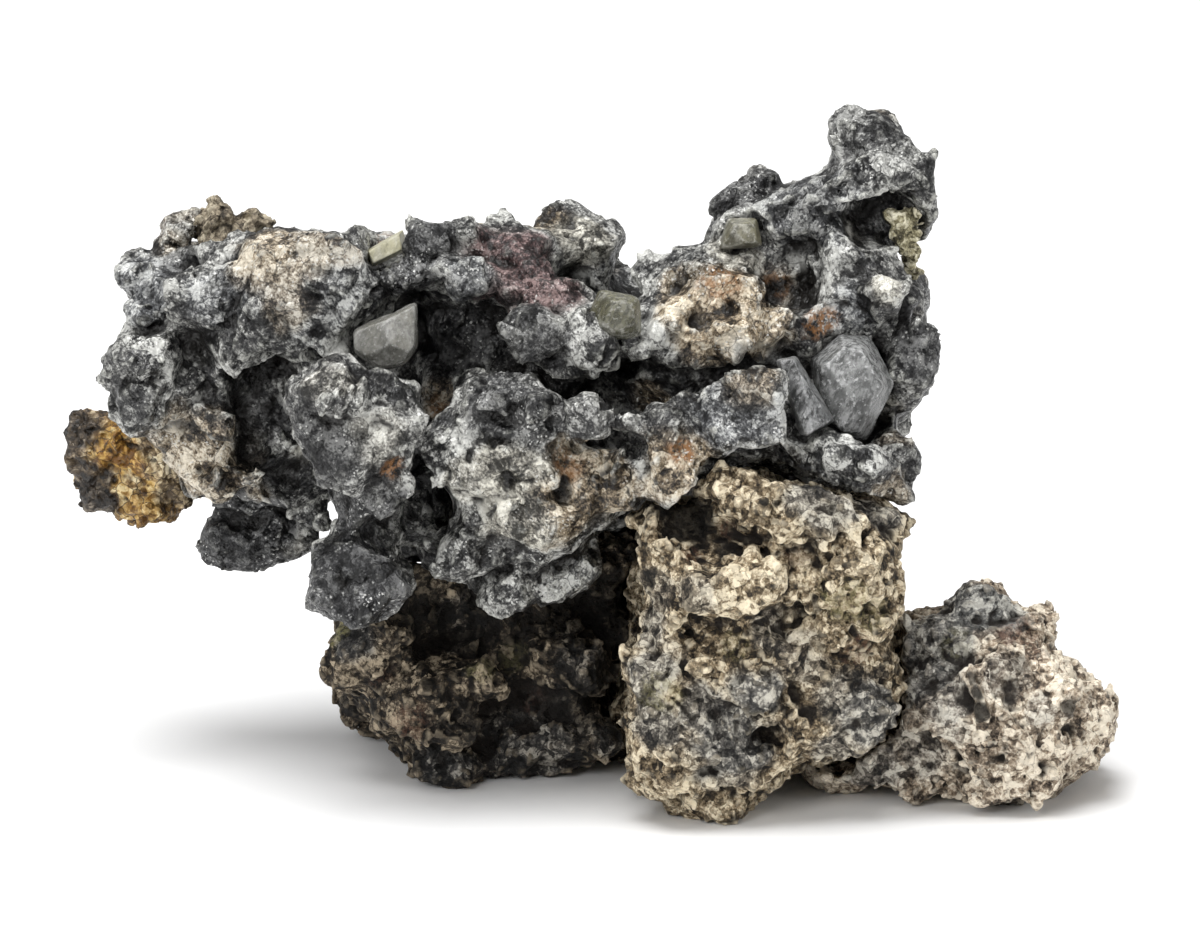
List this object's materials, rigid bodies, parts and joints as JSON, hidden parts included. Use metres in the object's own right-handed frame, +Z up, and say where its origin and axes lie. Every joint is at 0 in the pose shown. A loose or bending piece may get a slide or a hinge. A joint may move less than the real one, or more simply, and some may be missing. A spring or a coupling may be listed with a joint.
{
  "type": "native lead specimen",
  "caption": "Natural specimen of native lead: a branching metal mass that grips crusted matrix and crystals, for display on a flat surface.",
  "frame": {"origin": "on the surface the specimen rests on, below the middle of its bounding box", "axes": "+X along the specimen's length, from the honey-coloured knobs to the matrix lobe; +Z up as it rests on display; the displayed front faces -Y"},
  "size_m": [0.0532, 0.0258, 0.0342],
  "materials": {
    "lead": "dull charcoal grey metal, finely sparkling where it is rough",
    "crust": "matte crumbly tan mineral crust",
    "brown_matrix": "matte brown rubble",
    "honey_crystal": "honey-coloured mineral, half glossy",
    "grey_crystal": "grey translucent mineral, glossy faces",
    "pale_crystal": "cream to yellow translucent mineral"
  },
  "bodies": {
    "root": {"lead_mass": "lead", "matrix_block": "crust", "matrix_lobe": "crust", "matrix_rubble": "brown_matrix", "honey_knobs": "honey_crystal", "tan_crystals": "crust", "yellow_crust": "pale_crystal", "grey_grain": "grey_crystal", "amber_grain": "honey_crystal", "rimmed_crystal": "grey_crystal", "leaning_crystal": "grey_crystal", "yellow_grain": "pale_crystal", "pale_wedge": "pale_crystal", "pale_round": "pale_crystal"}
  },
  "joints": []
}
